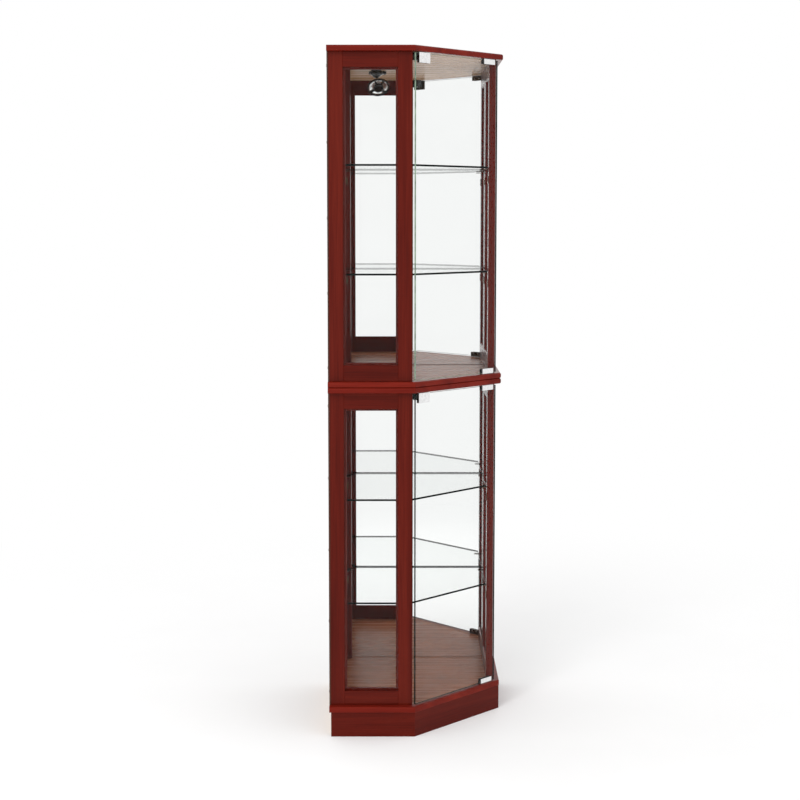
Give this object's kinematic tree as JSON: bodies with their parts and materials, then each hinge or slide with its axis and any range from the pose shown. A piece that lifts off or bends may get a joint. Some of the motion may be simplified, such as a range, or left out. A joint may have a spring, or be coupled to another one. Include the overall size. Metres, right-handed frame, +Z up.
{
  "type": "curio cabinet",
  "caption": "Stacked corner curio cabinet with glazed wooden sides, frameless glass doors, mirrored backs, loose glass shelves and a swivelling spotlight.",
  "frame": {"origin": "centre of the outline on the floor", "axes": "+Z up; the doors face -Y; the two back walls meet at +Y; +X to the viewer's right when facing the doors"},
  "size_m": [0.6548, 0.4876, 1.8],
  "materials": {
    "cherry_wood": "gloss lacquer over dark red cherry",
    "plain_wood": "unfinished",
    "back_board": "satin stained hardboard",
    "clear_glass": "polished",
    "mirror": "silvered",
    "chrome": "polished",
    "steel": "zinc plated",
    "bronze": "antique bronze",
    "black_plastic": "moulded",
    "black_gloss": "gloss black paint",
    "bulb": "frosted",
    "black_pad": "soft matte"
  },
  "bodies": {
    "carcass": {"back_panel_screws": "steel", "bottom_board": "cherry_wood", "hinge_bushings": "black_plastic", "lamp_canopy": "black_gloss", "latch_and_lamp_screws": "steel", "lower_corner_post": "cherry_wood", "lower_glass_beads": "cherry_wood", "lower_latch_body": "black_plastic", "lower_left_back_panel": "back_board", "lower_left_mirror": "mirror", "lower_left_side_frame": "cherry_wood", "lower_left_side_glass": "clear_glass", "lower_right_back_panel": "back_board", "lower_right_mirror": "mirror", "lower_right_side_frame": "cherry_wood", "lower_right_side_glass": "clear_glass", "lower_shelf_supports": "bronze", "lower_top_board": "cherry_wood", "plinth_corner_blocks": "plain_wood", "plinth_front_board": "cherry_wood", "plinth_left_board": "cherry_wood", "plinth_rear_rails": "cherry_wood", "plinth_right_board": "cherry_wood", "section_joining_dowels": "plain_wood", "top_board": "cherry_wood", "upper_bottom_board": "cherry_wood", "upper_corner_post": "cherry_wood", "upper_glass_beads": "cherry_wood", "upper_latch_body": "black_plastic", "upper_left_back_panel": "back_board", "upper_left_mirror": "mirror", "upper_left_side_frame": "cherry_wood", "upper_left_side_glass": "clear_glass", "upper_right_back_panel": "back_board", "upper_right_mirror": "mirror", "upper_right_side_frame": "cherry_wood", "upper_right_side_glass": "clear_glass", "upper_shelf_supports": "bronze"},
    "upper_door": {"upper_door_clip_pads": "black_pad", "upper_door_glass": "clear_glass", "upper_door_hinge_clips": "chrome", "upper_door_hinge_screws": "steel", "upper_door_strike_clip": "chrome"},
    "lower_door": {"lower_door_clip_pads": "black_pad", "lower_door_glass": "clear_glass", "lower_door_hinge_clips": "chrome", "lower_door_hinge_screws": "steel", "lower_door_strike_clip": "chrome"},
    "upper_latch_plunger": {"upper_latch_plunger": "black_plastic"},
    "lower_latch_plunger": {"lower_latch_plunger": "black_plastic"},
    "upper_top_shelf": {"upper_top_shelf": "clear_glass"},
    "upper_bottom_shelf": {"upper_bottom_shelf": "clear_glass"},
    "lower_top_shelf": {"lower_top_shelf": "clear_glass"},
    "lower_bottom_shelf": {"lower_bottom_shelf": "clear_glass"},
    "lamp_swivel": {"lamp_socket": "black_gloss"},
    "lamp_head": {"lamp_ball_and_neck": "black_gloss", "lamp_bulb": "bulb", "lamp_glare_guard": "black_gloss", "lamp_head_shell": "black_gloss", "lamp_reflector": "chrome"}
  },
  "joints": [
    {"name": "upper_door_hinge", "type": "hinge", "parent": "carcass", "child": "upper_door", "pos_m": [0.137, -0.23226, 0], "axis": [0, 0, 1], "range_deg": [0, 110]},
    {"name": "upper_latch_push", "type": "slide", "parent": "carcass", "child": "upper_latch_plunger", "axis": [0, 1, 0], "range_m": [0, 0.003], "stiffness_N_per_m": 400},
    {"name": "upper_top_shelf_lift", "type": "slide", "parent": "carcass", "child": "upper_top_shelf", "axis": [0, 0, 1], "range_m": [0, 0.04]},
    {"name": "upper_bottom_shelf_lift", "type": "slide", "parent": "carcass", "child": "upper_bottom_shelf", "axis": [0, 0, 1], "range_m": [0, 0.04]},
    {"name": "lower_door_hinge", "type": "hinge", "parent": "carcass", "child": "lower_door", "pos_m": [0.137, -0.23226, 0], "axis": [0, 0, 1], "range_deg": [0, 110]},
    {"name": "lower_latch_push", "type": "slide", "parent": "carcass", "child": "lower_latch_plunger", "axis": [0, 1, 0], "range_m": [0, 0.003], "stiffness_N_per_m": 400},
    {"name": "lower_top_shelf_lift", "type": "slide", "parent": "carcass", "child": "lower_top_shelf", "axis": [0, 0, 1], "range_m": [0, 0.04]},
    {"name": "lower_bottom_shelf_lift", "type": "slide", "parent": "carcass", "child": "lower_bottom_shelf", "axis": [0, 0, 1], "range_m": [0, 0.04]},
    {"name": "lamp_turn", "type": "hinge", "parent": "carcass", "child": "lamp_swivel", "pos_m": [0, 0.07126, 1.76], "axis": [0, 0, 1], "range_deg": [-170, 170]},
    {"name": "lamp_tilt", "type": "hinge", "parent": "lamp_swivel", "child": "lamp_head", "pos_m": [0, 0.07126, 1.76], "axis": [-0.809, 0.5878, 0], "range_deg": [-42, 4]}
  ]
}
